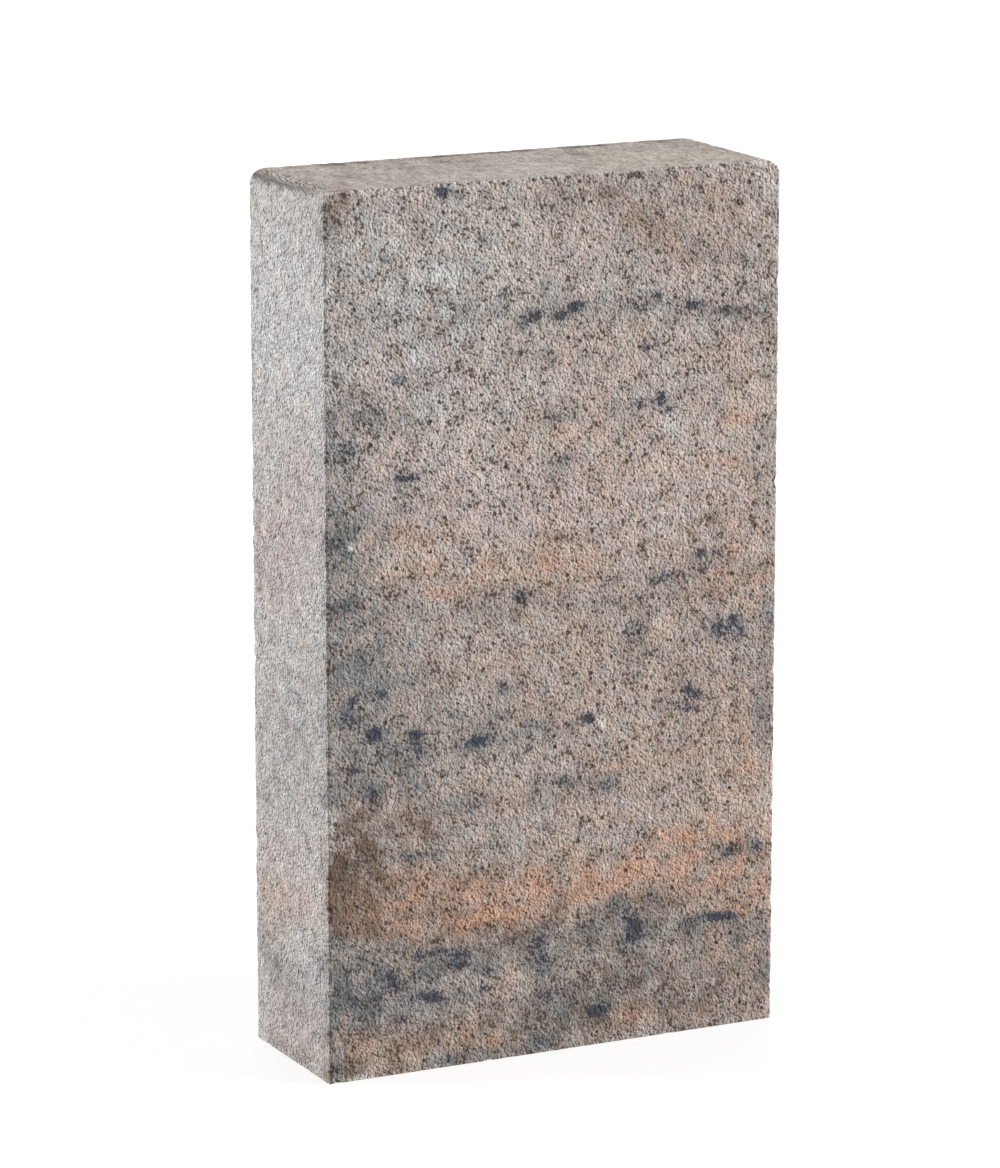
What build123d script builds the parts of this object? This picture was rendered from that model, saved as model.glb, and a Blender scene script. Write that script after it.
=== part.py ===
from build123d import *
import os

# Driving sizes of the cast slab, in millimetres
height = 400.0  # from the foot to the head
width = 225.0  # across the broad faces
thickness = 80.0  # between the two broad faces
head_radius = 8.0  # upper corners of the broad faces, where the head meets the narrow ends
arris_radius = 1.5  # slight rounding along the edges of the broad faces, above the foot


def broad_outline():
    """Outline of a broad face: square at the foot, with two rounded corners at the head."""
    with BuildSketch(Plane.XZ) as outline:
        Rectangle(width, height, align=(Align.CENTER, Align.MIN))
        head_corners = outline.vertices().group_by(Axis.Y)[-1]
        fillet(head_corners, radius=head_radius)
    return outline.sketch


def cast_slab():
    """The slab stands on its flat foot, centred over the origin, with a broad face to -Y."""
    with BuildPart() as slab:
        extrude(broad_outline(), amount=thickness / 2, both=True)
        outline_edges = slab.faces().filter_by(Axis.Y).edges()
        foot_edges = outline_edges.group_by(Axis.Z)[0]
        fillet(outline_edges - foot_edges, radius=arris_radius)
    return slab.part


os.makedirs("parts", exist_ok=True)
export_step(cast_slab(), os.path.join("parts", "palisade.step"))
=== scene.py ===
import math
import random

import bmesh
import bpy
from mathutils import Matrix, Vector, kdtree, noise


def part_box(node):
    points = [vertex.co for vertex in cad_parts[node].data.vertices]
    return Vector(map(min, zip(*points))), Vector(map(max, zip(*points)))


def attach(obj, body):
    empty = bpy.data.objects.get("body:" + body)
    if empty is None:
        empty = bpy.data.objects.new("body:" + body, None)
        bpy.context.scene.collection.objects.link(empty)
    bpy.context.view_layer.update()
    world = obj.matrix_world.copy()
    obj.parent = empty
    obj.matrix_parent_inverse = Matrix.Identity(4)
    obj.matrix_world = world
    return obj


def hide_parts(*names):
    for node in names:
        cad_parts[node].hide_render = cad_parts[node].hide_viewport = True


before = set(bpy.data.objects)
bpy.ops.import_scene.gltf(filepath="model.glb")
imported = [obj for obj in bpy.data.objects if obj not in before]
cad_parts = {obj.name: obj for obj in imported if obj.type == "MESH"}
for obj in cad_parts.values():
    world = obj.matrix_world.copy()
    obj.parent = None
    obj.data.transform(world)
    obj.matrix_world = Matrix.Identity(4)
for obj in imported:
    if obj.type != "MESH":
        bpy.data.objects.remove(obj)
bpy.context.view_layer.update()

mm = 0.001


# Slab: a gridded box, rounded as it was cast, then roughened, stained and given painted shade and highlights
# vertex by vertex

slab = {
    "node": "palisade",
    "slot": "concrete",
    "body": "root",
    "cells": (128, 46, 228),  # grid along width, thickness and height
    "rowPull": 2.0 * mm,  # how far the grid rows are drawn towards the edges
    "rowPullReach": 3.0 * mm,
    "shortestRow": 0.1 * mm,  # edges that run further along an axis are cut into its cells
    "headRadius": 8.0 * mm,
    "leftCorner": (6.0 * mm, 10.0 * mm),  # how much squarer the head's front left corner is, and how far back
    "arris": 1.5 * mm,
    "footArris": 0.7 * mm,
    "mapGap": 3.0 * mm,  # between the sides on the flat map
    "mapFacing": 0.9,  # cosine above which a face belongs to a side
    "seed": 41,
}

low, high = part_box(slab["node"])
width, thickness, height = high - low
middle = (low + high) / 2


def drawRows(along, half):
    # the outermost rows stay, the rows beside them come closer to them
    pull, reach = slab["rowPull"], slab["rowPullReach"]
    depth = half - abs(along)
    drawn = (depth - pull * (1 - math.exp(-depth / reach))) * half / (half - pull)
    return math.copysign(half - drawn, along)


def runAlong(edge, axis):
    return abs((edge.verts[0].co - edge.verts[1].co)[axis])


def gridBox():
    bm = bmesh.new()
    bmesh.ops.create_cube(bm, size=1.0)
    bmesh.ops.scale(bm, vec=(width, thickness, height), verts=bm.verts)
    for axis, cells in enumerate(slab["cells"]):
        alongAxis = [e for e in bm.edges if runAlong(e, axis) > slab["shortestRow"]]
        bmesh.ops.subdivide_edges(bm, edges=alongAxis, cuts=cells - 1, use_grid_fill=True)
    for vert in bm.verts:
        vert.co = [drawRows(c, size / 2) for c, size in zip(vert.co, (width, thickness, height))]
    bmesh.ops.translate(bm, vec=middle, verts=bm.verts)
    return bm


def unfoldSides(bm):
    # each side lies flat on the map: the direction it faces, then across, up and place on the map
    gap = slab["mapGap"]
    endRow = height + gap
    headColumn = 2 * (width + gap)
    sides = (
        ((0, -1, 0), (1, 0, 0), (0, 0, 1), (0, 0)),
        ((0, 1, 0), (-1, 0, 0), (0, 0, 1), (width + gap, 0)),
        ((-1, 0, 0), (0, 0, 1), (0, 1, 0), (0, endRow)),
        ((1, 0, 0), (0, 0, 1), (0, -1, 0), (0, endRow + thickness + gap)),
        ((0, 0, 1), (0, 1, 0), (-1, 0, 0), (headColumn, 0)),
        ((0, 0, -1), (0, 1, 0), (1, 0, 0), (headColumn, width + gap)),
    )
    mapSize = endRow + 2 * (thickness + gap)
    half = (high - low) / 2
    flatMap = bm.loops.layers.uv.new("OFBake")
    bm.normal_update()
    for face in bm.faces:
        for direction, across, up, place in sides:
            if face.normal.dot(direction) > slab["mapFacing"]:
                break
        for loop in face.loops:
            fromMiddle = loop.vert.co - middle
            uv = [fromMiddle.dot(d) + abs(half.dot(d)) + p + gap / 2 for d, p in zip((across, up), place)]
            loop[flatMap].uv = [c / mapSize for c in uv]


def roundOff(bm):
    # head corners of the broad outline first, then the arris round both broad faces
    arris = slab["arris"]
    for vert in bm.verts:
        x, y, z = vert.co
        headRadius = slab["headRadius"]
        if x < 0:
            squarer, reach = slab["leftCorner"]
            headRadius -= squarer * math.exp(-((y - low.y) / reach) ** 2)
        corner = Vector((abs(x) - (width / 2 - headRadius), z - (height - headRadius)))
        outward = Vector((1, 0)) if corner.x > corner.y else Vector((0, 1))
        inside = headRadius - max(corner)
        if min(corner) > 0:
            outward = corner.normalized()
            rounded = outward * max(corner)  # 0 at the arc's centre, headRadius on the outline
            x = math.copysign(width / 2 - headRadius + rounded.x, x)
            z = height - headRadius + rounded.y
        rim = Vector((arris - inside, abs(y) - (thickness / 2 - arris)))
        if min(rim) > 0:
            bent = rim.normalized() * max(rim)
            shift = bent - rim
            x += math.copysign(1, x) * shift.x * outward.x
            z += shift.x * outward.y
            y = math.copysign(abs(y) + shift.y, y)
        vert.co = (x, y, z)
    footArris = slab["footArris"]
    for vert in bm.verts:
        lift = footArris - vert.co.z
        if lift > 0:
            for axis, half in ((0, width / 2), (1, thickness / 2)):
                side = vert.co[axis]
                rim = Vector((abs(side) - (half - footArris), lift))
                if min(rim) > 0:
                    bent = rim.normalized() * max(rim)
                    vert.co[axis] = math.copysign(half - footArris + bent.x, side)
                    vert.co.z = footArris - bent.y
    bm.normal_update()


# Relief: grain lumps, open pores and knocked edges, all cut inwards from the cast box

relief = {
    "wave": (24 * mm, 0.20 * mm, 3.1),  # size, depth and noise offset of the gentle unevenness
    "fine": (3.6 * mm, 0.50 * mm, 7.7),
    "lump": (5.2 * mm, 0.34 * mm),
    "headShare": 0.6,  # the head was pressed smooth
    "footShare": 0.15,
    "poreCount": 300,
    "poreRadius": (1.2 * mm, 2.3 * mm),
    "poreDepth": (0.3 * mm, 1.0 * mm),
    "poreShade": 0.8,
    "headPores": (0.6, 0.3, 0.4),  # share of radius, depth and shade that pores keep on the head
    "headChipCount": 50,  # ones darkened with painted shade along the head's front and rear edges
    "headChipDrop": 0.5 * mm,
    "headChipRadius": (1.1 * mm, 2.2 * mm),
    "headChipDepth": (0.2 * mm, 0.8 * mm),
    "headChipShade": (0.5, 0.9),
    "chipSpacing": 18 * mm,  # along every edge
    "chipRadius": (1.2 * mm, 3.4 * mm),
    "chipDepth": (0.05 * mm, 0.5 * mm),
    "chipShade": 0.35,
    "wallShade": 1.6,  # how far up its wall a pit is dark
}

# Which way a spot faces: cosines from which it starts to belong to a side, and belongs to it fully
facing = {
    "front": (0.3, 0.8),
    "broad": (0.6, 0.9),  # front or back
    "end": (0.55, 0.9),
    "foot": (0.5, 0.8),
    "film": (0.3, 0.8),  # pale film of the ends
    "paleHead": (0.1, 0.5),  # head, where it hides pigment
    "poredHead": (0.05, 0.3),  # head, where its pores are smaller
    "smoothHead": (0.04, 0.25),  # head, where its relief is lower
    "pressedHead": (0.5, 0.88),  # head, where it has its own colour
    "headRim": (0.2, 0.45),  # rounding between the front and the head
}

# Pores and knocks that stand out on the front: across from the left, up from the foot, radius, depth
frontPores = (
    (153, 397.3, 3.0, 1.6), (149, 397.0, 2.4, 1.4), (10, 398.0, 2.6, 1.2), (163, 379, 1.9, 1.3),
    (166, 377, 1.9, 1.2), (162.5, 362.5, 2.2, 1.1), (143, 364, 1.9, 1.1), (203, 381.5, 2.1, 1.2),
    (17.5, 393.5, 2.1, 1.2), (127, 328, 2.4, 1.2), (67, 328, 1.9, 1.0), (6, 319, 2.2, 1.3),
    (12, 274, 2.0, 1.0), (81, 275, 1.9, 1.0), (155, 230, 2.2, 1.4), (190, 239, 2.2, 1.2),
    (131, 152, 2.3, 1.6), (153, 141.5, 2.6, 1.2), (22, 128, 2.2, 1.5), (10, 138, 2.2, 1.3),
    (12.5, 62, 1.9, 1.3), (12, 14.5, 2.2, 1.2), (149, 37, 2.3, 1.3), (112, 34, 2.0, 1.1),
    (224, 253, 2.6, 1.6), (224, 345, 2.6, 1.4), (3.5, 43, 2.2, 1.2), (0.5, 80, 2.6, 1.3),
    (104, 152, 1.8, 0.8), (213, 244, 2.2, 1.0), (113, 237, 2.0, 1.1), (86, 292, 2.0, 1.0),
    (66, 399, 1.3, 0.6), (70, 399, 1.3, 0.6), (75, 399, 1.4, 0.7), (80, 399, 1.3, 0.6),
    (102, 398.8, 1.4, 0.6), (108, 399, 1.3, 0.5), (113, 398.8, 1.4, 0.7), (118, 398.6, 1.5, 0.7),
    (138, 398.6, 1.5, 0.7), (144, 398.2, 1.5, 0.8), (168, 398.6, 1.5, 0.8), (178, 398.8, 1.4, 0.7),
    (183, 398.6, 1.6, 0.8), (197, 398.8, 1.5, 0.7), (203, 399, 1.3, 0.6), (90, 399, 1.3, 0.5),
)


# Pigment: clumps in the mix, each with its place and half sizes in mm and its strength

pigmentKinds = ("inky", "salmon", "umber", "ashen")
tintKinds = ("rosy", "bloom")
clumpKinds = pigmentKinds + tintKinds
pigment = {
    "clumpDepth": 7 * mm,  # how far a clump reaches into the slab
    "clumpReach": 2.2,  # where a clump or layer has faded out, in its own radii
    "endFilm": 0.7,  # share of the pigment that the film on the ends hides
    "headFilm": 0.6,
    "filmPatches": (13 * mm, 0.78, 0.7, 0.2),  # size, mean cover, swing and least cover of that film
    "frontShare": 0.85,  # how far the layers give way to the placed clumps on the front
    "layerSway": ((55 * mm, 9, 0), (17 * mm, 4, 5)),  # size, rise in mm and noise offset
    "layerFade": (38 * mm, 11, 1.2),  # size, noise offset from layer to layer, and most strength
    "clearOfFront": 12 * mm,  # loose clumps stay off the front's own edge
    "clearOfEnds": 2,  # and this many mm off the foot and the head
    "cornerFrom": 0.1,  # product of two cosines, from which a spot lies on a round head corner
    # painted shade on the round head corners, laid as ashen and umber
    "cornerShade": {"ashen": 0.1, "umber": 0.2},
    "rimHighlight": 0.5,  # painted highlight along the head's rounded front edge
    "mostStain": 1.5,  # that one spot holds
    "mostTint": 1.0,
}

# The front: across from the left, up from the foot, half width, half height, strength
front = {
    "inky": (
        # faint blue shade along the left edge and the foot
        (4, 286, 12, 16, .2), (4, 246, 12, 20, .28), (12, 214, 14, 9, .2), (10, 186, 17, 11, .2),
        (18, 162, 20, 13, .18), (36, 42, 32, 13, .12), (104, 48, 12, 12, .06), (30, 345, 30, 18, .08),
        (60, 338, 14, 10, .05), (12, 300, 14, 25, .08),
        # head and the broken line below it
        (57, 396, 5, 3, .7), (66, 395, 2.5, 2, .4), (77, 374, 4, 2.5, .5), (32, 369, 4, 2.2, .5),
        (6, 377, 4, 3, .3), (62, 346, 6, 2, .35), (63, 338, 5, 3, .28), (54, 332, 4, 2.5, .35),
        (87, 341, 6, 2, .4), (102, 338.5, 5, 3, .75), (96, 335, 3.5, 3, .5), (122, 341, 5, 3, 1.0),
        (115, 337, 4, 3, .8), (150, 340, 5, 3, .4), (163, 343, 3, 2.2, .65), (155, 337, 7, 3, .25),
        (181, 337, 6, 3, .85), (196, 334, 4.5, 2.6, .7), (207, 333, 6, 3, .5), (218, 331, 7, 4, .3),
        (203, 326, 3, 3, .35), (95, 322, 5, 3, .45), (157, 321, 4, 2.2, .55), (35, 315, 5, 3, .5),
        (51, 315, 5, 2, .35), (23, 303, 6, 5, .35), (203, 382, 3, 2.5, .5), (181, 384, 5, 3, .25),
        # upper middle
        (13, 286, 5, 4, .45), (42, 271.5, 4, 2, .9), (36, 272, 3, 2, .6), (85, 297, 4, 4, .35),
        (113, 292, 8, 2.6, .4), (118, 273, 7, 3, .5), (153, 295, 9, 3.5, .45), (165, 296, 3, 3, .9),
        (168, 290, 3, 2, .6), (163, 278, 4, 3, .35), (109, 265, 4, 4, .3), (214, 257, 3, 3, .55),
        (178, 288, 3, 4, .25), (70, 233, 3.5, 3, .55), (207, 241, 7, 3, .25),
        # line through the middle
        (95, 213, 4.5, 4, .75), (80, 213, 7, 4, .35), (13, 216, 6, 5, .22), (186, 223, 3.5, 3, 1.0),
        (194, 223, 4.5, 2, .55), (187, 216, 2.4, 2, .6), (165, 214, 8, 2.6, .5), (176, 216, 8, 2.2, .4),
        (198, 219, 6, 3, .3), (172, 206, 7, 4, .3), (137, 206, 8, 4, .25),
        # lower middle
        (150, 191, 6, 5, .5), (157, 192, 3, 2, .4), (157, 181, 4, 4, .35), (195, 187, 7, 4.5, .7),
        (203, 192, 3.5, 2.4, .75), (206, 185, 2.6, 4, .7), (223, 190, 4, 4, .45),
        (179, 162, 4.5, 3, .65), (184, 159, 4, 2.2, .75), (180, 153, 7, 4, .6),
        (129, 153, 4.5, 2.4, 1.1), (27, 176, 4, 3, .65), (12, 174, 4, 2.4, .5), (11, 166, 6, 5, .4),
        (23, 158, 4.5, 3.5, .95), (43, 156, 3.5, 3, .85), (44, 149, 6, 5, .6), (25, 149, 3, 2, .5),
        (73, 149, 6, 3.2, .9), (82, 150, 6, 1.6, .4), (86, 160, 6, 3, .4), (13, 143, 3.5, 3, .75),
        (22, 131, 4, 3.5, .85), (86, 172, 3.5, 3, .6), (74, 121, 6, 5, .3), (104, 117, 5, 3, .35),
        (106, 106, 6, 3, .3), (115, 126, 6, 2.4, .6), (139, 121, 5, 4, .4), (128, 126, 4, 2, .35),
        (176, 119, 4, 2.4, .3), (177, 138, 5, 4, .3), (218, 145, 5, 5, .35), (223, 137, 3, 4, .4),
        (104, 152, 4, 2, .4),
        # along the salmon band
        (43, 100, 5.5, 2.2, .7), (55, 99.5, 4, 1.6, .45), (82, 100, 4, 2, .4), (203, 83, 6, 3, .7),
        (217, 83, 4, 2.6, .65), (186, 72, 5, 3, .25), (163, 67, 5, 2, .5), (146, 63, 5, 3, .4),
        # foot
        (153, 53, 5, 4, 1.0), (150, 58, 4, 3, .6), (152, 48, 4.5, 2, .8), (147, 43, 2.8, 4, .65),
        (196, 52.5, 6, 2.4, .95), (203, 51.5, 3.5, 2, .6), (184, 52, 8, 2.6, .4), (217, 48, 4, 2, .4),
        (128, 56, 4.5, 3, .5), (104, 52, 6, 4.5, .55), (105, 45, 6, 4, .45), (123, 40, 5, 2, .4),
        (134, 16, 5.5, 3.4, 1.2), (54, 54.5, 8, 1.8, .75), (66, 51, 6, 3, .7), (65, 46.5, 6, 2, .65),
        (44, 53, 4, 3, .55), (30, 47, 4, 3, .55), (33, 42, 5, 3, .65), (24, 36, 3.5, 4, .6),
        (12, 37, 6, 4, .5), (53, 33, 4, 3, .95), (47, 35, 4, 2, .55), (35, 26, 5, 4, .5),
        (20, 25, 6, 5, .4), (79, 42, 7, 2.6, .5), (77, 34, 4, 3, .5), (6, 64, 5, 4, .4),
        (110, 27, 8, 5, .5), (100, 18, 8, 5, .3), (105, 5, 8, 4, .4), (60, 4, 8, 3, .5),
        (4, 7, 5, 6, .5), (145, 25, 6, 5, .35), (157, 29, 7, 3, .35), (205, 37, 6, 5, .24),
        (222, 40, 4, 6, .38), (222, 21, 4, 5, .4), (210, 25, 6, 5, .25), (183, 16, 10, 4, .25),
    ),
    "salmon": (
        # soft warm ground of the middle, then the stripes
        (125, 268, 70, 34, .34), (195, 272, 30, 26, .15), (205, 236, 22, 24, .18),
        (120, 226, 80, 14, .22), (130, 180, 70, 22, .20), (170, 150, 46, 26, .20),
        (110, 118, 80, 18, .12), (206, 130, 22, 30, .12), (160, 320, 60, 14, .14),
        (200, 312, 20, 16, .14), (192, 380, 38, 16, .2), (150, 382, 12, 10, .15), (176, 362, 16, 8, .15),
        (40, 245, 20, 6, .38), (38, 230, 20, 5, .25), (82, 227, 10, 6, .28), (107, 227, 11, 6, .25),
        (60, 219, 22, 4, .3), (118, 218, 16, 5, .22), (205, 284, 11, 3, .28), (197, 266, 10, 6, .2),
        (196, 206, 24, 7, .25), (165, 168, 5, 3, .45), (147, 131, 13, 5, .42), (178, 131, 10, 4, .2),
        (208, 148, 10, 8, .14), (205, 126, 14, 8, .17), (200, 112, 20, 10, .26), (205, 50, 24, 46, .17),
        (188, 88, 22, 11, .4), (215, 70, 14, 18, .2), (60, 84, 40, 10, .15), (206, 208, 22, 16, .22),
        (205, 136, 22, 16, .14), (150, 104, 24, 5, .22), (60, 68, 40, 7, .35), (120, 69, 40, 6, .3),
        # warm band above the foot
        (125, 78, 100, 14, .3), (50, 86, 20, 9, .38), (38, 76, 14, 6, .2), (68, 72, 18, 8, .3),
        (85, 64, 14, 5, .3), (105, 77, 14, 8, .3), (130, 80, 18, 8, .3), (125, 94, 12, 4, .3),
        (160, 78, 20, 8, .35), (168, 92, 20, 6, .5), (202, 95, 16, 7, .5), (190, 70, 20, 6, .25),
        (213, 58, 10, 7, .55), (20, 15, 16, 9, .26), (38, 12, 18, 10, .32), (66, 15, 12, 8, .18),
        (156, 12, 10, 7, .18), (132, 6, 12, 4, .25), (184, 6, 14, 4, .22), (195, 37, 6, 6, .42),
        (172, 39, 5, 5, .42), (217, 34, 5, 5, .4), (145, 12, 6, 4, .3), (85, 9, 8, 4, .35),
        (157, 11, 6, 4, .3), (90, 42, 7, 6, .15), (120, 33, 8, 6, .15), (88, 30, 8, 12, .12),
    ),
    "umber": (
        (112, 222, 140, 22, .08), (112, 160, 140, 30, .1), (112, 112, 140, 26, .1),
        (112, 66, 140, 24, .2), (112, 14, 140, 20, .2), (34, 12, 40, 12, .26), (190, 24, 40, 26, .12),
        (184, 384, 36, 12, .24), (138, 390, 9, 8, .28), (150, 378, 11, 9, .24), (166, 370, 13, 9, .2),
        (184, 362, 14, 8, .22), (206, 358, 15, 8, .22), (222, 322, 5, 12, .27), (4, 390, 7, 8, .75),
        (118, 392, 36, 9, .22), (44, 388, 16, 8, .12), (112, 237, 6, 4, .5), (88, 207, 24, 8, .34),
        (140, 207, 18, 7, .24), (196, 209, 26, 8, .3), (186, 222, 14, 6, .25), (194, 241, 16, 8, .1),
        (118, 186, 90, 12, .05), (60, 178, 40, 10, .06), (120, 160, 60, 12, .07),
        (110, 122, 70, 12, .08), (44, 112, 30, 9, .14), (20, 115, 26, 12, .26), (44, 112, 22, 9, .3),
        (66, 86, 40, 12, .46), (224, 212, 8, 6, .4), (190, 238, 5, 4, .4), (180, 236, 4, 4, .3),
        (14, 130, 16, 10, .4), (9, 86, 17, 15, 1.7), (18, 108, 22, 12, .4), (28, 82, 14, 12, .55),
        (120, 66, 90, 7, .25), (186, 42, 40, 22, .25), (128, 40, 34, 20, .16), (80, 56, 38, 9, .4),
        (64, 66, 46, 8, .38), (160, 60, 18, 10, .2), (140, 8, 16, 8, .2), (104, 12, 40, 11, .58),
        (196, 12, 36, 12, .28), (150, 28, 24, 10, .3), (36, 22, 34, 10, .18), (8, 8, 12, 9, .6),
        (190, 84, 36, 6, .25), (186, 168, 12, 10, .2),
    ),
    "ashen": (
        (6, 288, 12, 16, .4), (8, 330, 16, 12, .2), (8, 244, 15, 21, .75), (10, 214, 14, 10, .6),
        (11, 194, 18, 10, .55), (34, 186, 22, 13, .44), (38, 134, 18, 12, .55), (10, 38, 12, 12, 1.0),
        (34, 212, 16, 9, .3), (30, 300, 14, 12, .2), (34, 258, 14, 10, .2), (10, 358, 18, 16, .25),
        (110, 354, 16, 10, .14), (112, 328, 18, 8, .12), (10, 168, 18, 14, .48), (46, 164, 34, 12, .3),
        (40, 150, 30, 8, .34), (14, 138, 16, 9, .6), (78, 150, 20, 7, .4), (110, 152, 22, 6, .3),
        (84, 166, 16, 8, .25), (150, 186, 14, 9, .22), (200, 187, 18, 7, .35), (172, 158, 18, 7, .12),
        (220, 180, 7, 16, .45), (219, 146, 9, 20, .35), (182, 214, 30, 5, .22), (92, 212, 18, 5, .3),
        (60, 121, 24, 7, .25), (116, 123, 20, 5, .35), (140, 120, 12, 6, .3), (40, 101, 16, 3, .3),
        (112, 340, 30, 5, .4), (160, 341, 14, 5, .3), (198, 334, 30, 6, .32), (60, 340, 16, 9, .14),
        (95, 322, 10, 5, .3), (40, 315, 18, 5, .25), (14, 304, 16, 7, .25), (150, 293, 24, 6, .22),
        (112, 292, 12, 5, .25), (116, 272, 12, 5, .25), (40, 272, 10, 4, .3), (206, 83, 16, 4, .4),
        (14, 58, 20, 7, .36), (40, 48, 30, 9, .7), (20, 34, 18, 10, .6), (66, 48, 16, 6, .5),
        (60, 32, 22, 5, .5), (104, 48, 11, 10, .6), (130, 54, 12, 6, .4), (150, 52, 14, 12, .5),
        (190, 52, 20, 4, .5), (218, 40, 9, 14, .18), (112, 24, 16, 8, .5), (166, 36, 14, 8, .2),
        (205, 26, 16, 8, .08), (134, 17, 12, 6, .45), (62, 3, 24, 4, .4), (104, 4, 16, 4, .45),
        (148, 66, 14, 4, .3), (128, 27, 5, 5, .35), (162, 32, 6, 6, .5), (183, 45, 6, 5, .4),
        (207, 42, 6, 6, .32), (105, 40, 6, 6, .4), (195, 19, 7, 5, .4), (220, 20, 6, 7, .4),
        (160, 68, 6, 4, .4), (118, 14, 6, 5, .3), (170, 16, 5, 5, .3),
    ),
    "rosy": (
        (60, 318, 20, 8, .3), (20, 318, 14, 8, .25), (185, 300, 14, 6, .35), (148, 236, 9, 9, .8),
        (60, 256, 40, 14, .3), (40, 390, 16, 8, .2), (110, 250, 40, 14, .3), (150, 262, 30, 14, .3),
        (190, 256, 20, 12, .25),
    ),
    "bloom": (
        (46, 364, 58, 42, .34), (178, 310, 34, 80, .1), (12, 285, 16, 14, .15), (62, 162, 34, 10, .1),
        (50, 312, 40, 20, .25), (62, 284, 20, 13, .3), (170, 285, 7, 6, .6), (148, 236, 7, 9, .7),
        (194, 37, 5, 5, .3), (172, 39, 5, 5, .3), (217, 34, 5, 5, .3), (100, 300, 30, 12, .2),
        (118, 256, 66, 25, .5), (88, 262, 15, 13, .55), (200, 108, 24, 12, .3), (60, 354, 14, 14, .22),
        (218, 392, 12, 10, .3), (168, 276, 18, 14, .3), (150, 158, 18, 10, .32), (178, 240, 20, 14, .2),
        (176, 241, 22, 12, .3), (187, 312, 16, 12, .3), (214, 386, 12, 10, .2), (72, 169, 9, 5, .45),
        (100, 150, 8, 4, .35), (60, 195, 30, 5, .2),
    ),
}

# The left end, under its pale film: depth from the front, up, half depth, half height, strength
leftEnd = {
    "inky": (
        (3, 246, 5, 4, .25), (2, 214, 4, 3, .2), (4, 130, 6, 6, .35), (5, 165, 5, 6, .2),
        (9, 53, 9, 6, .35), (28, 46, 10, 4, .3), (3, 22, 4, 3, .45), (2, 38, 4, 8, .25),
    ),
    "salmon": (
        (66, 66, 18, 14, .18), (44, 73, 16, 12, .17), (22, 79, 14, 10, .15), (30, 68, 14, 8, .1),
    ),
    "umber": (
        (60, 66, 22, 14, .2), (30, 74, 20, 10, .12), (4, 385, 8, 10, .2), (40, 4, 40, 5, .3),
        (4, 100, 7, 18, .15), (3, 20, 6, 20, .2), (20, 5, 20, 5, .2),
    ),
    "ashen": (
        (36, 150, 40, 36, .3), (60, 120, 18, 12, .15), (30, 30, 20, 8, .2), (52, 40, 18, 9, .36),
        (66, 48, 12, 10, .2), (10, 60, 9, 8, .25), (12, 185, 12, 20, .12),
    ),
    "rosy": (
        (30, 280, 30, 12, .35), (45, 240, 40, 24, .6), (60, 215, 20, 14, .4), (20, 262, 20, 10, .35),
        (55, 95, 26, 12, .45), (20, 105, 20, 8, .3), (50, 18, 22, 14, .5), (20, 26, 14, 12, .45),
        (70, 45, 10, 8, .35),
    ),
    "bloom": (
        (40, 345, 60, 45, .8), (20, 310, 20, 14, .5), (66, 322, 14, 12, .3), (40, 170, 30, 14, .2),
        (60, 150, 20, 20, .15),
    ),
}

# The head: across from the left, depth from the front, half width, half depth, strength
headTop = {
    "inky": (
        (57, 1, 5, 4, .3), (158, 75, 3, 5, .3), (172, 76, 3, 4, .3), (41, 75, 3, 5, .3),
        (147, 60, 3, 4, .25),
    ),
    "salmon": ((12, 3, 8, 6, .2), (190, 20, 30, 18, .06)),
    "umber": (
        (85, 60, 26, 15, .3), (148, 56, 14, 20, .3), (98, 40, 6, 5, .3), (153, 50, 4, 8, .35),
        (135, 30, 3, 6, .3), (140, 77, 60, 4, .45), (40, 74, 40, 6, .25), (28, 38, 5, 9, .25),
        (10, 2, 6, 4, .5), (162, 1, 8, 3, .4), (205, 60, 10, 16, .2), (215, 30, 8, 20, .2),
        (158, 75, 3, 6, .9), (164, 76, 3, 5, .9), (172, 76, 3, 5, .9), (181, 77, 4, 4, .9),
        (36, 76, 3, 5, .9), (42, 75, 3, 6, .9), (54, 76, 4, 5, .8), (122, 77, 4, 4, .8),
        (133, 77, 4, 4, .8), (90, 77, 5, 4, .7), (106, 77, 8, 3, .7), (200, 76, 4, 4, .8),
        (20, 76, 4, 5, .8),
    ),
    "ashen": (
        (4, 40, 10, 40, .3), (30, 44, 12, 15, .16), (60, 40, 8, 24, .15), (130, 78, 30, 4, .3),
        (190, 70, 16, 10, .12),
    ),
    "rosy": ((38, 26, 20, 26, .5), (55, 65, 14, 12, .35), (100, 14, 24, 10, .3), (200, 68, 14, 10, .3)),
    "bloom": ((117, 38, 9, 34, .2), (66, 10, 16, 8, .25), (108, 14, 18, 11, .3)),
}

# Loose pale grains and worn spots on the front: across, up, radius, strength
paleGrains = (
    (135, 152, 2.6, 1.0), (136.5, 149.5, 2.0, .8), (12.6, 243, 2.0, .9), (84.5, 382.5, 2.0, .5),
    (188, 221, 2.0, .6), (189, 224, 1.8, .5), (11, 0.4, 1.8, .6), (14, 0.6, 2.0, .7),
    (17, 0.9, 2.2, .7), (20, 0.9, 2.0, .6), (23, 0.7, 1.6, .5),
    (170, 285, 5.0, .35), (194, 22, 2.0, .5), (1, 124, 4.0, .4), (1, 117, 4.5, .5),
    (1, 110, 4.0, .4), (0.5, 104, 3.0, .35), (219, 107, 4.0, .2),
)

# Layers that run round the whole slab: pigment, height, half height, strength
layers = (
    ("umber", 388, 16, .22), ("ashen", 336, 7, .16), ("salmon", 292, 12, .12), ("ashen", 300, 9, .12),
    ("salmon", 246, 13, .26), ("salmon", 224, 8, .26), ("ashen", 210, 6, .22), ("salmon", 196, 9, .14),
    ("ashen", 156, 12, .28), ("salmon", 130, 9, .22), ("ashen", 118, 7, .16), ("salmon", 104, 8, .2),
    ("salmon", 78, 15, .55), ("ashen", 46, 10, .5), ("ashen", 28, 12, .42), ("umber", 30, 26, .35),
    ("salmon", 10, 8, .3),
)

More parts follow.
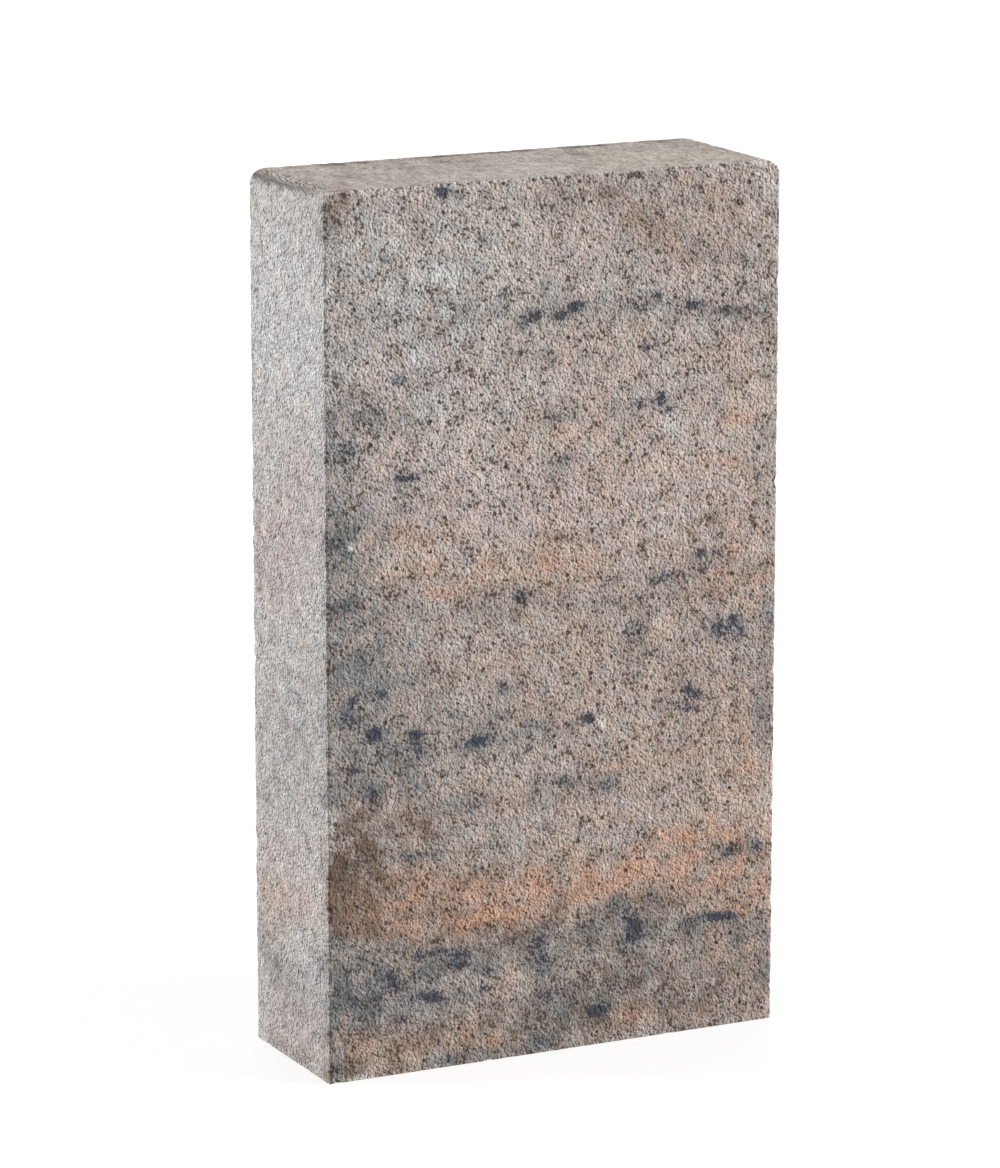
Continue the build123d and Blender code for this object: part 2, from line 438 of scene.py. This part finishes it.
# Loose clumps in those layers, on the right end and the back: pigment, height, spread, count
sideClumps = (
    ("inky", 334, 6, 16), ("inky", 292, 10, 8), ("inky", 268, 12, 8), ("inky", 214, 7, 15),
    ("inky", 187, 7, 10), ("inky", 156, 10, 18), ("inky", 122, 9, 10), ("inky", 84, 10, 8),
    ("inky", 50, 6, 16), ("inky", 28, 12, 22), ("inky", 380, 14, 8), ("salmon", 244, 8, 8),
    ("salmon", 224, 8, 8), ("salmon", 130, 9, 6), ("salmon", 80, 11, 16), ("salmon", 12, 6, 8),
    ("umber", 385, 10, 6), ("umber", 100, 12, 4), ("ashen", 330, 10, 8), ("ashen", 290, 20, 8),
    ("ashen", 200, 16, 8), ("ashen", 155, 14, 9), ("ashen", 40, 18, 12),
)
# Least and most half width, half height and strength of a loose clump
clumpSizes = {
    "inky": (3, 8, 1.8, 3.5, .3, .9), "salmon": (14, 36, 3, 7, .12, .42),
    "umber": (12, 30, 6, 12, .2, .5), "ashen": (16, 50, 3, 9, .12, .42),
}


def smooth(value, start, stop):
    t = min(max((value - start) / (stop - start), 0.0), 1.0)
    return t * t * (3 - 2 * t)


def towards(share, weight):
    # 1 where the weight is 0, the share where it is 1
    return 1 + weight * (share - 1)


def fromFront(across, up):
    return Vector((low.x + across * mm, low.y, low.z + up * mm))


def placedClumps(stains, corner, axes):
    # every clump of a side as kind, place, radii along x, y and z, strength
    for kind in clumpKinds:
        for *along, firstHalf, secondHalf, strength in stains[kind]:
            place = corner.copy()
            radii = [pigment["clumpDepth"]] * 3
            for axis, distance, half in zip(axes, along, (firstHalf, secondHalf)):
                place[axis] += distance * mm
                radii[axis] = half * mm
            yield kind, place, radii, strength


def roundTheBack(chance):
    # a spot on the right end or the back, as one run along them
    run = chance.uniform(pigment["clearOfFront"], width + thickness)
    if run < thickness:
        return high.x, low.y + run, True
    return high.x - (run - thickness), high.y, False


def looseClumps(chance):
    depth, clear = pigment["clumpDepth"], pigment["clearOfEnds"]
    for kind, layer, spread, count in sideClumps:
        wide, wider, tall, taller, weak, strong = clumpSizes[kind]
        for _ in range(count):
            x, y, onEnd = roundTheBack(chance)
            up = min(max(chance.gauss(layer, spread), clear), height / mm - clear) * mm
            broad = chance.uniform(wide, wider) * mm
            halfUp = chance.uniform(tall, taller) * mm
            radii = (depth, broad, halfUp) if onEnd else (broad, depth, halfUp)
            yield kind, Vector((x, y, up)), radii, chance.uniform(weak, strong)


def layerAmounts(co):
    # the layers wander up and down a little and fade in and out
    drift = 0.0
    for size, rise, offset in pigment["layerSway"]:
        drift += rise * noise.noise(co / size + Vector((offset, 0, 0)))
    fadeSize, fadeOffset, most = pigment["layerFade"]
    found = {}
    for number, (kind, up, halfUp, strength) in enumerate(layers):
        apart = (co.z / mm + drift - up) / halfUp
        if abs(apart) < pigment["clumpReach"]:
            fade = 0.5 + noise.noise(co / fadeSize + Vector((0, 0, fadeOffset * number)))
            amount = strength * math.exp(-apart * apart) * min(max(fade, 0), most)
            found[kind] = found.get(kind, 0) + amount
    return found


def filmCover(co):
    size, mean, swing, least = pigment["filmPatches"]
    return min(max(mean + swing * noise.noise(co / size + Vector((0, 9, 0))), least), 1.0)


def edgePoints():
    # points along the twelve edges, one for every chip
    for axis in range(3):
        others = [a for a in range(3) if a != axis]
        for first in (low, high):
            for second in (low, high):
                point = Vector((0, 0, 0))
                point[others[0]], point[others[1]] = first[others[0]], second[others[1]]
                steps = int((high[axis] - low[axis]) / relief["chipSpacing"])
                for _ in range(steps):
                    yield axis, point


def layPigment(bm, finder, chance):
    # how much of every pigment lies at each vertex, with painted shade on the round head corners laid as
    # ashen and umber
    amounts = {kind: [0.0] * len(bm.verts) for kind in clumpKinds}

    def spread(clumps):
        for kind, place, radii, strength in clumps:
            for co, index, _ in finder.find_range(place, pigment["clumpReach"] * max(radii)):
                apart = sum((c / r) ** 2 for c, r in zip(co - place, radii))
                amounts[kind][index] += strength * math.exp(-apart)

    spread(placedClumps(front, low, (0, 2)))
    spread(looseClumps(chance))
    for vert in bm.verts:
        i, normal = vert.index, vert.normal
        onEnd = smooth(abs(normal.x), *facing["end"])
        onHead = smooth(normal.z, *facing["paleHead"])
        onFront = smooth(-normal.y, *facing["front"])
        for kind, amount in layerAmounts(vert.co).items():
            amounts[kind][i] += amount * (1 - pigment["frontShare"] * onFront)
        kept = (1 - pigment["endFilm"] * onEnd) * (1 - pigment["headFilm"] * onHead)
        for kind in clumpKinds:
            amounts[kind][i] *= kept
        # painted shade where a round head corner faces up and sideways
        onCorner = max(abs(normal.x) * normal.z - pigment["cornerFrom"], 0)
        for kind, strength in pigment["cornerShade"].items():
            amounts[kind][i] += strength * onCorner
    spread(placedClumps(leftEnd, low, (1, 2)))
    spread(placedClumps(headTop, Vector((low.x, low.y, high.z)), (0, 1)))
    print("pigment clumps laid")
    return amounts


def layPits(bm, finder, chance):
    # depth and painted shade of pores and chips, and strength of the pale grains, at each vertex
    sunk, pitShade, pale = ([0.0] * len(bm.verts) for _ in range(3))

    # a pit is sunk into the surface and darkened with painted shade up its walls
    def press(place, radius, depth, shade):
        for _, index, apart in finder.find_range(place, radius):
            share = 1 - (apart / radius) ** 2
            sunk[index] = max(sunk[index], depth * share)
            pitShade[index] = max(pitShade[index], shade * min(1.0, relief["wallShade"] * share))

    for across, up, radius, depth in frontPores:
        press(fromFront(across, up), radius * mm, depth * mm, 1.0)
    smaller, shallower, paler = relief["headPores"]
    for _ in range(relief["poreCount"]):
        vert = bm.verts[chance.randrange(len(bm.verts))]
        onHead = smooth(vert.normal.z, *facing["poredHead"])
        radius = chance.uniform(*relief["poreRadius"]) * towards(smaller, onHead)
        depth = chance.uniform(*relief["poreDepth"]) * towards(shallower, onHead)
        press(vert.co.copy(), radius, depth, relief["poreShade"] * towards(paler, onHead))
    for _ in range(relief["headChipCount"]):
        across = chance.uniform(low.x, high.x)
        place = Vector((across, chance.choice((low.y, high.y)), high.z - relief["headChipDrop"]))
        radius = chance.uniform(*relief["headChipRadius"])
        depth = chance.uniform(*relief["headChipDepth"])
        press(place, radius, depth, chance.uniform(*relief["headChipShade"]))
    for axis, edge in edgePoints():
        place = edge.copy()
        place[axis] = chance.uniform(low[axis], high[axis])
        radius = chance.uniform(*relief["chipRadius"])
        press(place, radius, chance.uniform(*relief["chipDepth"]), relief["chipShade"])
    for across, up, radius, strength in paleGrains:
        for _, index, apart in finder.find_range(fromFront(across, up), radius * mm):
            pale[index] = max(pale[index], strength * (1 - (apart / radius / mm) ** 3))
    print("pores, chips and pale grains laid")
    return sunk, pitShade, pale


def reliefCut(co):
    # how deep the open-grained surface lies below the cast box
    cut = 0.0
    for name in ("wave", "fine"):
        size, depth, offset = relief[name]
        cut += depth * (0.5 + 0.5 * noise.noise(co / size + Vector((offset, 0, 0))))
    size, depth = relief["lump"]
    nearest = noise.voronoi(co / size)[0][0]
    return cut + depth * min(nearest, 1.0)


def weatherSlabAndPaintLight(bm):
    chance = random.Random(slab["seed"])
    stains = bm.verts.layers.float_color.new("pigment")  # inky, salmon, umber, ashen; umber and ashen also hold painted shade of the round head corners
    tints = bm.verts.layers.float_color.new("tint")  # rosy, bloom
    finishAndPaintedLight = bm.verts.layers.float_color.new("finishAndPaintedLight")  # pressed head, film on the ends, painted shade of pits, pale grain with the painted highlight of the head's front edge
    bm.verts.ensure_lookup_table()
    finder = kdtree.KDTree(len(bm.verts))
    for vert in bm.verts:
        finder.insert(vert.co, vert.index)
    finder.balance()
    amounts = layPigment(bm, finder, chance)
    sunk, pitShade, pale = layPits(bm, finder, chance)

    moves = []
    for vert in bm.verts:
        i, normal = vert.index, vert.normal
        offBroad = 1 - smooth(abs(normal.y), *facing["broad"])
        onHead = smooth(normal.z, *facing["smoothHead"]) * offBroad
        onFoot = smooth(-normal.z, *facing["foot"])
        share = towards(relief["headShare"], onHead)
        share += onFoot * (relief["footShare"] - share)
        moves.append(reliefCut(vert.co) * share + sunk[i])
        pressed = smooth(normal.z, *facing["pressedHead"]) * offBroad
        film = smooth(abs(normal.x), *facing["film"]) * (1 - pressed) * filmCover(vert.co)
        # painted highlight on the rounding between the front and the head, kept out of the pits
        onRim = smooth(-normal.y * normal.z, *facing["headRim"]) * (1 - pitShade[i])
        vert[stains] = [min(amounts[kind][i], pigment["mostStain"]) for kind in pigmentKinds]
        vert[tints] = [min(amounts[kind][i], pigment["mostTint"]) for kind in tintKinds] + [0.0, 1.0]
        vert[finishAndPaintedLight] = (pressed, film, pitShade[i], max(pale[i], pigment["rimHighlight"] * onRim))
    for vert, move in zip(bm.verts, moves):
        vert.co -= vert.normal * move
    bm.normal_update()


def makeSlab():
    bm = gridBox()
    unfoldSides(bm)
    roundOff(bm)
    print("grid rounded:", len(bm.faces), "faces")
    weatherSlabAndPaintLight(bm)
    for face in bm.faces:
        face.smooth = True
    mesh = bpy.data.meshes.new("palisadeConcrete")
    bm.to_mesh(mesh)
    bm.free()
    piece = bpy.data.objects.new("palisadeConcrete", mesh)
    bpy.context.scene.collection.objects.link(piece)
    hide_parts(slab["node"])
    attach(piece, slab["body"])
    return piece


# Concrete: coated grains of several tones, pigment that sits on single grains, painted shade in the gaps
# between them

concrete = {
    "grainSize": 1.3 * mm,
    "gritSize": 2.0 * mm,
    "dustSize": 0.7 * mm,
    "mottleSize": 9 * mm,
    "clusterSize": 7 * mm,  # where grains lie closer or looser
    "crumble": (1.2 * mm, 0.9 * mm),  # how fine and how far the grain outlines wander
    "headDrag": 0.5,  # how far the grains of the head are drawn out, front to back
    "pockSpacing": 6.0 * mm,  # single open pits
    "pockRadius": (0.1 * mm, 1.05 * mm),
    "pockRim": (0.6, 1.3),  # where a pit starts to rise and where it ends, in its own radii
    "domeRim": (0.05, 0.85),  # and the same of a grain's round top, in grain sizes
    "domeHeight": 0.35,
    "gritHeight": 1.6,
    "dustHeight": 0.12,
    "pockDepth": 0.8,
    "looseness": 0.9,  # how much deeper the gaps are where grains lie looser
    "gapHeights": (0.56, 0.87),  # a gap is full below the first height and ends at the second
    "pitEdge": (0.45, 0.95),
    "headSmooth": 0.12,
    "endSmooth": 0.14,
    "smoothPocks": 0.6,  # share of the pits and the gaps that is left on smooth sides
    "smoothGaps": 0.5,
    "cement": (0.382, 0.337, 0.312),
    "inky": (0.034, 0.038, 0.054),
    "inkyHalo": (0.110, 0.120, 0.144),
    "salmon": (0.435, 0.262, 0.185),
    "umber": (0.122, 0.088, 0.067),
    "ashen": (0.145, 0.145, 0.142),
    "rosy": (0.385, 0.318, 0.322),
    "bloom": (0.485, 0.484, 0.478),
    "head": (0.452, 0.404, 0.358),
    "film": (0.490, 0.486, 0.478),
    # colour of the pale grains and of the painted highlight on the head's front edge
    "paleGrainAndHighlight": (0.62, 0.585, 0.54),
    "gap": (0.075, 0.052, 0.038),  # painted shade deep between the grains and in the pits
    "gapShade": 0.9,
    "coatCover": 0.85,  # how far the head's and the film's colours hide the cement
    "pigmentCover": 1.15,
    "grainCover": (0.65, 1.15),  # least and most pigment on a single grain
    "patchCover": (0.45, 1.35),  # and on a patch of grains
    "haloCover": (1.1, 0.75),  # how soon ink has a halo, and the most of it
    "inkStrength": 1.4,
    "inkByGrain": 0.75,  # how much less ink some grains take
    "inkByGrit": 1.4,
    "inkCover": (0.6, 0.92),  # amount at which ink is densest, and how dense that is
    "grainTone": (0.77, 1.20),  # darkest and palest grain against the colour around it
    "dustTone": (0.92, 1.08),
    "clusterTone": (0.87, 1.12),
    "grainTints": ((1.018, 0.998, 0.980), (0.986, 1.001, 1.014)),  # of the darkest and the palest grain
    "mottleTints": ((1.038, 0.992, 0.962), (0.968, 1.006, 1.022)),  # warm and cool patches
    "evenTint": 0.6,  # amount of film or pressing from which there are no tints
    "toneSpan": (0.3, 0.7),  # what dust and cluster noise mostly lie between
    "patchSpan": (0.34, 0.66),
    "tintSpan": (0.36, 0.64),
    "roughness": (0.97, 0.78),
    "roughHeights": (0.8, 1.6),
    "specular": 0.3,
    "bumpDepth": 1.02 * mm,
    "smoothBump": 0.3,
    "endRelief": 1.7,  # how much deeper the grain of the ends is, and of the head
    "headRelief": 0.9,
}


class NodeBench:
    # shorthands for wiring a node tree

    def __init__(self, tree):
        self.tree = tree

    def feed(self, socket, value):
        if isinstance(value, bpy.types.NodeSocket):
            self.tree.links.new(value, socket)
        elif hasattr(value, "__len__") and len(value) == 3 and len(socket.default_value) == 4:
            socket.default_value = (*value, 1.0)
        else:
            socket.default_value = value

    def add(self, kind, **settings):
        node = self.tree.nodes.new("ShaderNode" + kind)
        for name, value in settings.items():
            setattr(node, name, value)
        return node

    def math(self, operation, first, second=0.0, third=0.0, clamp=False):
        node = self.add("Math", operation=operation, use_clamp=clamp)
        for socket, value in zip(node.inputs, (first, second, third)):
            self.feed(socket, value)
        return node.outputs[0]

    def reach(self, value, fromLow, fromHigh, toLow=0.0, toHigh=1.0, kind="SMOOTHSTEP"):
        node = self.add("MapRange", interpolation_type=kind)
        for socket, number in zip(node.inputs, (value, fromLow, fromHigh, toLow, toHigh)):
            self.feed(socket, number)
        return node.outputs[0]

    def mix(self, factor, first, second, blend="MIX"):
        node = self.add("Mix", data_type="RGBA", blend_type=blend)
        for socket, value in ((node.inputs[0], factor), (node.inputs[6], first), (node.inputs[7], second)):
            self.feed(socket, value)
        return node.outputs[2]

    def scale(self, colour, amount):
        node = self.add("VectorMath", operation="SCALE")
        self.feed(node.inputs[0], colour)
        self.feed(node.inputs["Scale"], amount)
        return node.outputs[0]

    def cells(self, coords, size):
        node = self.add("TexVoronoi")
        self.feed(node.inputs["Vector"], coords)
        node.inputs["Scale"].default_value = 1 / size
        return node.outputs

    def cloud(self, coords, size, detail=2.0, roughness=0.5):
        # a noise, as a value and as a colour
        node = self.add("TexNoise")
        self.feed(node.inputs["Vector"], coords)
        node.inputs["Scale"].default_value = 1 / size
        node.inputs["Detail"].default_value = detail
        node.inputs["Roughness"].default_value = roughness
        return node.outputs[0], node.outputs[1]

    def wander(self, coords, size, reach):
        # coordinates pushed about by a noise, so that outlines cut along them turn ragged
        off = self.add("VectorMath", operation="SUBTRACT")
        self.feed(off.inputs[0], self.cloud(coords, size)[1])
        off.inputs[1].default_value = (0.5, 0.5, 0.5)
        pushed = self.add("VectorMath", operation="MULTIPLY_ADD")
        self.feed(pushed.inputs[0], off.outputs[0])
        pushed.inputs[1].default_value = (reach, reach, reach)
        self.feed(pushed.inputs[2], coords)
        return pushed.outputs[0]

    def split(self, colour):
        node = self.add("SeparateColor")
        self.feed(node.inputs[0], colour)
        return node.outputs[:3]

    def painted(self, name):
        node = self.add("Attribute", attribute_name=name)
        return (*self.split(node.outputs["Color"]), node.outputs["Alpha"])


def drawnOut(bench, coords, onHead):
    # coordinates that run slower from front to back on the head
    back = bench.math("SUBTRACT", bench.split(coords)[1], low.y)
    pull = bench.math("MULTIPLY", onHead, -concrete["headDrag"])
    drag = bench.add("CombineXYZ")
    bench.feed(drag.inputs["Y"], bench.math("MULTIPLY", back, pull))
    drawn = bench.add("VectorMath", operation="ADD")
    bench.feed(drawn.inputs[0], coords)
    bench.feed(drawn.inputs[1], drag.outputs[0])
    return drawn.outputs[0]


def castConcrete():
    material = bpy.data.materials.new("castConcrete")
    material.use_nodes = True
    bench = NodeBench(material.node_tree)
    shader = material.node_tree.nodes["Principled BSDF"]
    inky, salmon, umber, ashen = bench.painted("pigment")
    rosy, bloom = bench.painted("tint")[:2]
    # pressed head, film, painted shade of the pits, and pale grains with the painted highlight of the head's
    # front edge
    onHead, film, pitShade, pale = bench.painted("finishAndPaintedLight")
    coords = drawnOut(bench, bench.add("TexCoord").outputs["Object"], onHead)

    # grains with crumbled outlines, and the noises that break them up
    bent = bench.wander(coords, *concrete["crumble"])
    grain = bench.cells(bent, concrete["grainSize"])
    toneOfGrain, chanceOfInk, chanceOfPigment = bench.split(grain["Color"])
    grit = bench.cloud(coords, concrete["gritSize"], detail=1.0, roughness=0.8)[0]
    gritSwing = bench.math("SUBTRACT", grit, 0.5)
    dust = bench.cloud(coords, concrete["dustSize"], detail=1.0)[0]
    cluster = bench.cloud(coords, concrete["clusterSize"], detail=3.0)[0]
    blotches = bench.split(bench.cloud(coords, concrete["mottleSize"], detail=3.0)[1])
    smoothHead = bench.math("MULTIPLY", onHead, concrete["headSmooth"])
    smoothEnd = bench.math("MULTIPLY", film, concrete["endSmooth"])
    smoothed = bench.math("MAXIMUM", smoothHead, smoothEnd)

    # single open pits, from pinholes to ones that took a whole grain
    pock = bench.cells(bent, concrete["pockSpacing"])
    smallest, largest = (radius / concrete["pockSpacing"] for radius in concrete["pockRadius"])
    pockRadius = bench.reach(bench.split(pock["Color"])[0], 0.0, 1.0, smallest, largest, kind="LINEAR")
    pockHole = bench.reach(bench.math("DIVIDE", pock["Distance"], pockRadius), *concrete["pockRim"], 1.0, 0.0)
    fewerPocks = bench.reach(smoothed, 0.0, concrete["endSmooth"], 1.0, concrete["smoothPocks"])
    pockHole = bench.math("MULTIPLY", pockHole, fewerPocks)

    # height of the coated grains, and the painted shade of the gaps between them and of the pits
    dome = bench.reach(grain["Distance"], *concrete["domeRim"], 1.0, 0.0)
    tall = bench.math("MULTIPLY", grit, concrete["gritHeight"])
    tall = bench.math("MULTIPLY_ADD", dome, concrete["domeHeight"], tall)
    tall = bench.math("MULTIPLY_ADD", dust, concrete["dustHeight"], tall)
    tall = bench.math("MULTIPLY_ADD", pockHole, -concrete["pockDepth"], tall)
    # painted shade where the grains lie low, spread deeper where they lie looser
    packed = bench.math("MULTIPLY_ADD", bench.math("SUBTRACT", cluster, 0.5), concrete["looseness"], tall)
    gap = bench.reach(packed, *concrete["gapHeights"], 1.0, 0.0)
    fewerGaps = bench.reach(smoothed, 0.0, concrete["endSmooth"], 1.0, concrete["smoothGaps"])
    gap = bench.math("MULTIPLY", gap, fewerGaps)
    # painted shade in the pores and chips, ragged by the grit
    pit = bench.math("MULTIPLY_ADD", gritSwing, -concrete["gritHeight"], pitShade)
    pit = bench.reach(pit, *concrete["pitEdge"])

    # pigment, mottled and broken up from grain to grain
    uneven = bench.reach(chanceOfPigment, 0.0, 1.0, *concrete["grainCover"], kind="LINEAR")
    headCoat = bench.math("MULTIPLY", onHead, concrete["coatCover"])
    endCoat = bench.math("MULTIPLY", film, concrete["coatCover"])
    colour = bench.mix(headCoat, concrete["cement"], concrete["head"])
    colour = bench.mix(endCoat, colour, concrete["film"])
    coats = (("bloom", bloom), ("rosy", rosy), ("umber", umber), ("salmon", salmon), ("ashen", ashen))
    for (name, amount), blotch in zip(coats, (*blotches, *blotches)):
        patchy = bench.reach(blotch, *concrete["patchSpan"], *concrete["patchCover"])
        cover = bench.math("MULTIPLY", amount, concrete["pigmentCover"])
        share = bench.math("MULTIPLY", cover, bench.math("MULTIPLY", uneven, patchy), clamp=True)
        colour = bench.mix(share, colour, concrete[name])
    soon, most = concrete["haloCover"]
    halo = bench.math("MULTIPLY", bench.math("MULTIPLY", inky, soon), uneven, clamp=True)
    colour = bench.mix(bench.math("MULTIPLY", halo, most), colour, concrete["inkyHalo"])

    # tone of grains, dust and clusters, and tints where neither film nor pressing evens them out
    byGrain = bench.reach(toneOfGrain, 0.0, 1.0, *concrete["grainTone"], kind="LINEAR")
    byDust = bench.reach(dust, *concrete["toneSpan"], *concrete["dustTone"])
    byCluster = bench.reach(cluster, *concrete["toneSpan"], *concrete["clusterTone"])
    tone = bench.math("MULTIPLY", bench.math("MULTIPLY", byGrain, byDust), byCluster)
    colour = bench.scale(colour, bench.reach(smoothed, 0.0, 1.0, tone, 1.0))
    tint = bench.reach(film, 0.0, concrete["evenTint"], toneOfGrain, 0.5)
    colour = bench.mix(1.0, colour, bench.mix(tint, *concrete["grainTints"]), blend="MULTIPLY")
    evened = bench.math("MAXIMUM", film, onHead)
    warmth = bench.reach(blotches[1], *concrete["tintSpan"])
    warmth = bench.reach(evened, 0.0, concrete["evenTint"], warmth, 0.5)
    colour = bench.mix(1.0, colour, bench.mix(warmth, *concrete["mottleTints"]), blend="MULTIPLY")

    # ink on single grains, pale grains with the painted highlight of the head's front edge, then painted
    # shade in the gaps and pits
    speckled = bench.math("MULTIPLY", inky, concrete["inkStrength"])
    speckled = bench.math("MULTIPLY_ADD", chanceOfInk, -concrete["inkByGrain"], speckled)
    speckled = bench.math("MULTIPLY_ADD", gritSwing, -concrete["inkByGrit"], speckled)
    full, dense = concrete["inkCover"]
    ink = bench.math("MULTIPLY", bench.reach(speckled, 0.0, full), dense)
    colour = bench.mix(ink, colour, concrete["inky"])
    colour = bench.mix(pale, colour, concrete["paleGrainAndHighlight"])
    shade = bench.math("MULTIPLY", bench.math("MAXIMUM", gap, pit), concrete["gapShade"])
    colour = bench.mix(shade, colour, concrete["gap"])

    bench.feed(shader.inputs["Base Color"], colour)
    roughness = bench.reach(tall, *concrete["roughHeights"], *concrete["roughness"])
    bench.feed(shader.inputs["Roughness"], roughness)
    shader.inputs["Specular IOR Level"].default_value = concrete["specular"]
    deeper = bench.math("MULTIPLY_ADD", onHead, concrete["headRelief"], 1.0)
    deeper = bench.math("MULTIPLY_ADD", film, concrete["endRelief"], deeper)
    bump = bench.add("Bump")
    bump.inputs["Distance"].default_value = concrete["bumpDepth"]
    bench.feed(bump.inputs["Strength"], bench.reach(smoothed, 0.0, 1.0, 1.0, concrete["smoothBump"]))
    bench.feed(bump.inputs["Height"], bench.math("MULTIPLY", bench.math("SUBTRACT", tall, 1.0), deeper))
    bench.feed(shader.inputs["Normal"], bump.outputs[0])
    return material


# Studio: white floor, a light on the front, one on the left end and a weak one behind, and the camera

studio = {
    "azimuth": -26.40,
    "elevation": 12.80,
    "distance": 2.4395,
    "lookAt": (-0.008, 0.0, 0.2096),
    "lens": 167.03,
    "sensor": 36.0,
    "lights": {  # direction the light comes from, width in degrees, strength
        "keyLight": ((0.80, -0.53, 0.24), 18.0, 4.6),
        "sideLight": ((-0.89, 0.43, 0.15), 14.0, 4.45),
        "backLight": ((0.31, 0.945, 0.10), 50.0, 1.3),
    },
    "lightDistance": 4.0,  # only for its place, a sun is as strong from anywhere
    "worldStrength": 0.42,
    "floorSize": 30.0,
    "floorAlbedo": (0.35, 0.35, 0.35),
    "floorRoughness": 0.9,
    "floorLift": 0.70,  # own glow that brings the floor up to white, for the camera and reflections only
}


def placeCamera():
    data = bpy.data.cameras.new("productCamera")
    data.lens, data.sensor_width = studio["lens"], studio["sensor"]
    holder = bpy.data.objects.new("productCamera", data)
    bpy.context.scene.collection.objects.link(holder)
    azimuth, elevation = math.radians(studio["azimuth"]), math.radians(studio["elevation"])
    level = Vector((math.sin(azimuth), -math.cos(azimuth), 0)) * math.cos(elevation)
    back = level + Vector((0, 0, math.sin(elevation)))
    holder.location = Vector(studio["lookAt"]) + back * studio["distance"]
    holder.rotation_euler = (-back).to_track_quat("-Z", "Y").to_euler()
    bpy.context.scene.camera = holder


def placeLights():
    for name, (source, angle, strength) in studio["lights"].items():
        data = bpy.data.lights.new(name, "SUN")
        data.energy, data.angle = strength, math.radians(angle)
        holder = bpy.data.objects.new(name, data)
        bpy.context.scene.collection.objects.link(holder)
        holder.location = Vector(source) * studio["lightDistance"]
        holder.rotation_euler = (-holder.location).to_track_quat("-Z", "Y").to_euler()


def seenDirectly(bench):
    path = bench.add("LightPath").outputs
    seen = bench.math("MAXIMUM", path["Is Camera Ray"], path["Is Glossy Ray"])
    return bench.math("MAXIMUM", seen, path["Is Transmission Ray"])


def layFloor():
    bm = bmesh.new()
    bmesh.ops.create_grid(bm, x_segments=1, y_segments=1, size=studio["floorSize"] / 2)
    mesh = bpy.data.meshes.new("studioFloor")
    bm.to_mesh(mesh)
    bm.free()
    floor = bpy.data.objects.new("studioFloor", mesh)
    bpy.context.scene.collection.objects.link(floor)
    material = bpy.data.materials.new("whiteFloor")
    material.use_nodes = True
    bench = NodeBench(material.node_tree)
    shader = material.node_tree.nodes["Principled BSDF"]
    shader.inputs["Base Color"].default_value = (*studio["floorAlbedo"], 1.0)
    shader.inputs["Roughness"].default_value = studio["floorRoughness"]
    shader.inputs["Emission Color"].default_value = (1.0, 1.0, 1.0, 1.0)
    lift = bench.math("MULTIPLY", seenDirectly(bench), studio["floorLift"])
    bench.feed(shader.inputs["Emission Strength"], lift)
    mesh.materials.append(material)


def lightWorld():
    world = bpy.data.worlds.new("studioWorld")
    bpy.context.scene.world = world
    world.use_nodes = True
    bench = NodeBench(world.node_tree)
    sky = world.node_tree.nodes["Background"]
    sky.inputs["Color"].default_value = (1.0, 1.0, 1.0, 1.0)
    strength = bench.reach(seenDirectly(bench), 0.0, 1.0, studio["worldStrength"], 1.0)
    bench.feed(sky.inputs["Strength"], strength)


piece = makeSlab()
piece.data.materials.append(castConcrete())
print("concrete applied")
placeCamera()
placeLights()
layFloor()
lightWorld()
bpy.context.scene.view_settings.view_transform = "Standard"
print("studio set")
